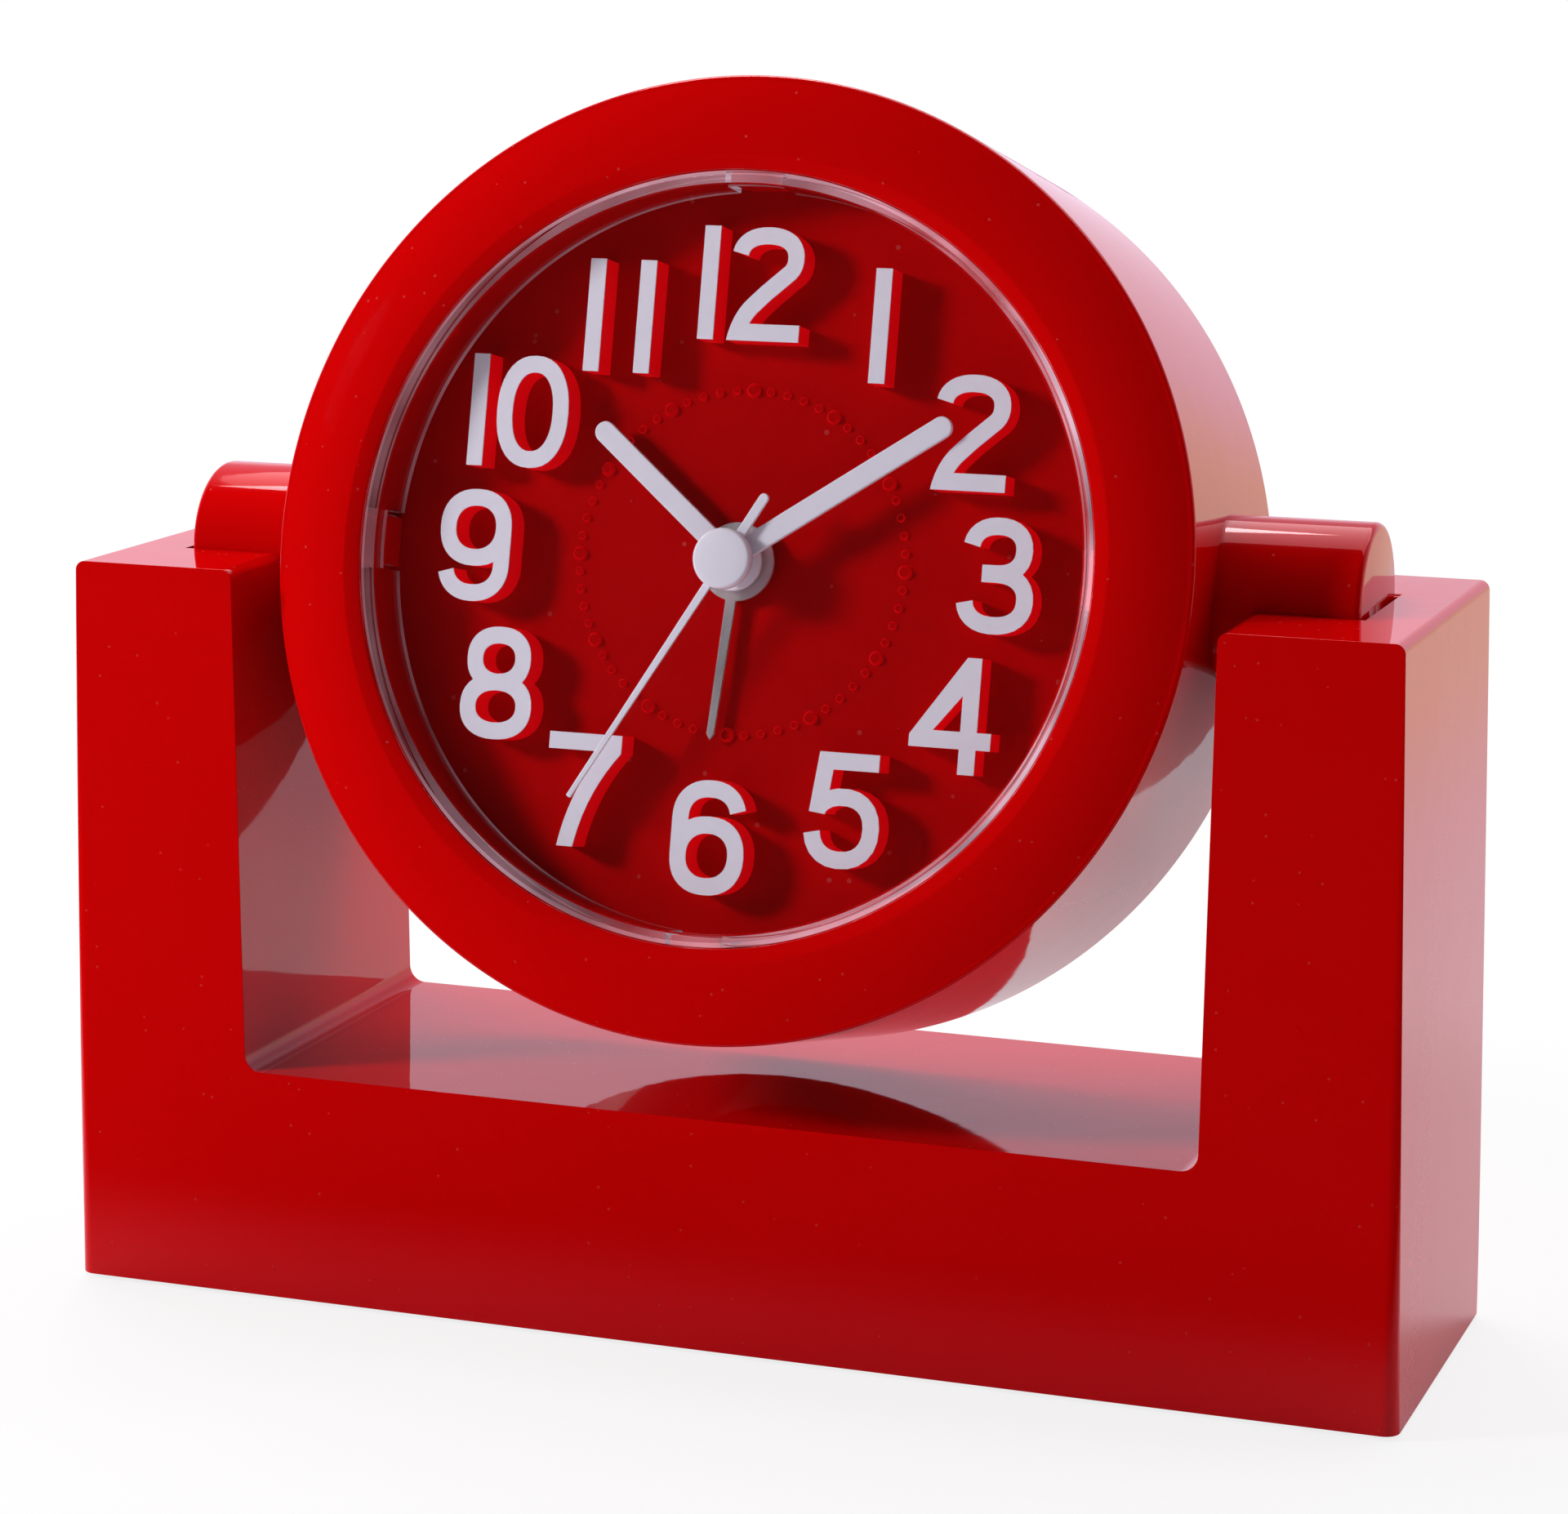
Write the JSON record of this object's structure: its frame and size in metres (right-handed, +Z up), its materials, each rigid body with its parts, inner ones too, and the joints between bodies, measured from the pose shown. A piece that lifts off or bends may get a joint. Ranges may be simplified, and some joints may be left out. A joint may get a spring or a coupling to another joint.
{
  "type": "desk alarm clock",
  "caption": "Round battery alarm clock whose drum tilts on two trunnions between the pillars of a U-shaped stand, with raised numerals and a silver alarm hand.",
  "frame": {"origin": "on the table, under the middle of the stand", "axes": "+X to the right as the viewer faces the dial, +Y away from the viewer, +Z up; the dial faces -Y"},
  "size_m": [0.1414, 0.0531, 0.1273],
  "materials": {
    "red_gloss": "gloss",
    "red_dial": "fine textured",
    "white_face": "satin",
    "clear": "clear polished",
    "silver_hand": "satin",
    "black_rubber": "matte",
    "black_plastic": "fine textured",
    "steel": "zinc plated",
    "spring_brass": "bright",
    "ivory": "natural nylon",
    "movement_white": "moulded",
    "magnet": "sintered magnet with a plastic pinion",
    "iron": "soft iron",
    "copper": "enamelled copper wire",
    "green_plastic": "moulded",
    "green_board": "solder mask",
    "black_resin": "resin drop",
    "cell": "plain printed sleeve",
    "nickel": "nickel plated"
  },
  "bodies": {
    "stand": {"stand_shell": "red_gloss", "base_plate": "red_gloss", "base_screws": "steel", "foot_pads": "black_rubber"},
    "head": {"drum_case": "red_gloss", "trunnions": "red_gloss", "trunnion_screws": "steel", "pivot_screws": "steel", "friction_washers": "spring_brass", "lens": "clear", "dial": "red_dial", "dial_screws": "steel", "numeral_faces": "white_face", "movement_front_case": "movement_white", "middle_plate": "movement_white", "movement_back_case": "movement_white", "movement_screws": "steel", "stator": "iron", "coil_core": "iron", "coil_bobbin": "green_plastic", "coil_winding": "copper", "circuit_board": "green_board", "quartz_crystal": "nickel", "control_chip": "black_resin", "alarm_contact": "spring_brass", "back_cover": "red_gloss", "back_screws": "steel", "buzzer_disc": "spring_brass", "battery": "cell", "plus_contact": "nickel", "minus_contact": "nickel", "switch_retainer": "spring_brass"},
    "second": {"second_hand": "white_face", "hand_cap": "white_face", "second_wheel": "ivory"},
    "rotor": {"rotor": "magnet"},
    "fifth": {"fifth_wheel": "ivory"},
    "third": {"third_wheel": "ivory"},
    "centre": {"centre_wheel": "ivory"},
    "minute": {"minute_hand": "white_face", "minute_pinion": "ivory"},
    "motion": {"motion_wheel": "ivory"},
    "hour": {"hour_hand": "white_face", "hour_wheel": "ivory"},
    "time_knob": {"time_knob": "black_plastic"},
    "alarm": {"alarm_hand": "silver_hand", "alarm_wheel": "ivory"},
    "alarm_knob": {"alarm_knob": "black_plastic"},
    "switch": {"alarm_switch": "black_plastic"},
    "door": {"battery_door": "red_gloss"}
  },
  "joints": [
    {"name": "head_tilt", "type": "hinge", "parent": "stand", "child": "head", "pos_m": [0, 0, 0.07701], "axis": [-1, 0, 0], "range_deg": [-32.5, 32.5]},
    {"name": "second_spin", "type": "hinge", "parent": "head", "child": "second", "pos_m": [0, 0, 0.07701], "axis": [0, 0.9763, -0.2164], "continuous": true},
    {"name": "rotor_spin", "type": "hinge", "parent": "head", "child": "rotor", "pos_m": [0.0134, 0.00016, 0.07771], "axis": [0, 0.9763, -0.2164], "continuous": true},
    {"name": "fifth_spin", "type": "hinge", "parent": "head", "child": "fifth", "pos_m": [0.00651, 0.00141, 0.08336], "axis": [0, 0.9763, -0.2164], "continuous": true},
    {"name": "third_spin", "type": "hinge", "parent": "head", "child": "third", "pos_m": [-0.00651, 0.00141, 0.08336], "axis": [0, 0.9763, -0.2164], "continuous": true},
    {"name": "centre_spin", "type": "hinge", "parent": "head", "child": "centre", "pos_m": [0, 0, 0.07701], "axis": [0, 0.9763, -0.2164], "continuous": true},
    {"name": "minute_spin", "type": "hinge", "parent": "head", "child": "minute", "pos_m": [0, 0, 0.07701], "axis": [0, 0.9763, -0.2164], "continuous": true},
    {"name": "motion_spin", "type": "hinge", "parent": "head", "child": "motion", "pos_m": [-0.0077, -0.00117, 0.07174], "axis": [0, 0.9763, -0.2164], "continuous": true},
    {"name": "hour_spin", "type": "hinge", "parent": "head", "child": "hour", "pos_m": [0, 0, 0.07701], "axis": [0, 0.9763, -0.2164], "continuous": true},
    {"name": "time_knob_turn", "type": "hinge", "parent": "head", "child": "time_knob", "pos_m": [-0.0164, -0.00194, 0.06828], "axis": [0, 0.9763, -0.2164], "continuous": true},
    {"name": "alarm_spin", "type": "hinge", "parent": "head", "child": "alarm", "pos_m": [0, 0, 0.07701], "axis": [0, 0.9763, -0.2164], "continuous": true},
    {"name": "alarm_knob_turn", "type": "hinge", "parent": "head", "child": "alarm_knob", "pos_m": [0.00859, -0.00194, 0.06828], "axis": [0, 0.9763, -0.2164], "continuous": true},
    {"name": "alarm_switch_slide", "type": "slide", "parent": "head", "child": "switch", "axis": [0, 0.2164, 0.9763], "range_m": [0, 0.004]},
    {"name": "battery_door_swing", "type": "hinge", "parent": "head", "child": "door", "pos_m": [0, 0.00442, 0.03967], "axis": [-1, 0, 0], "range_deg": [0, 70]}
  ],
  "couplings": [
    {"joint": "rotor_spin", "follows": "second_spin", "ratio": 30},
    {"joint": "fifth_spin", "follows": "second_spin", "ratio": -6},
    {"joint": "third_spin", "follows": "second_spin", "ratio": -0.13333},
    {"joint": "centre_spin", "follows": "second_spin", "ratio": 0.016667},
    {"joint": "motion_spin", "follows": "minute_spin", "ratio": -0.33333},
    {"joint": "hour_spin", "follows": "minute_spin", "ratio": 0.083333},
    {"joint": "time_knob_turn", "follows": "minute_spin", "ratio": 1},
    {"joint": "alarm_knob_turn", "follows": "alarm_spin", "ratio": -1.8182}
  ]
}
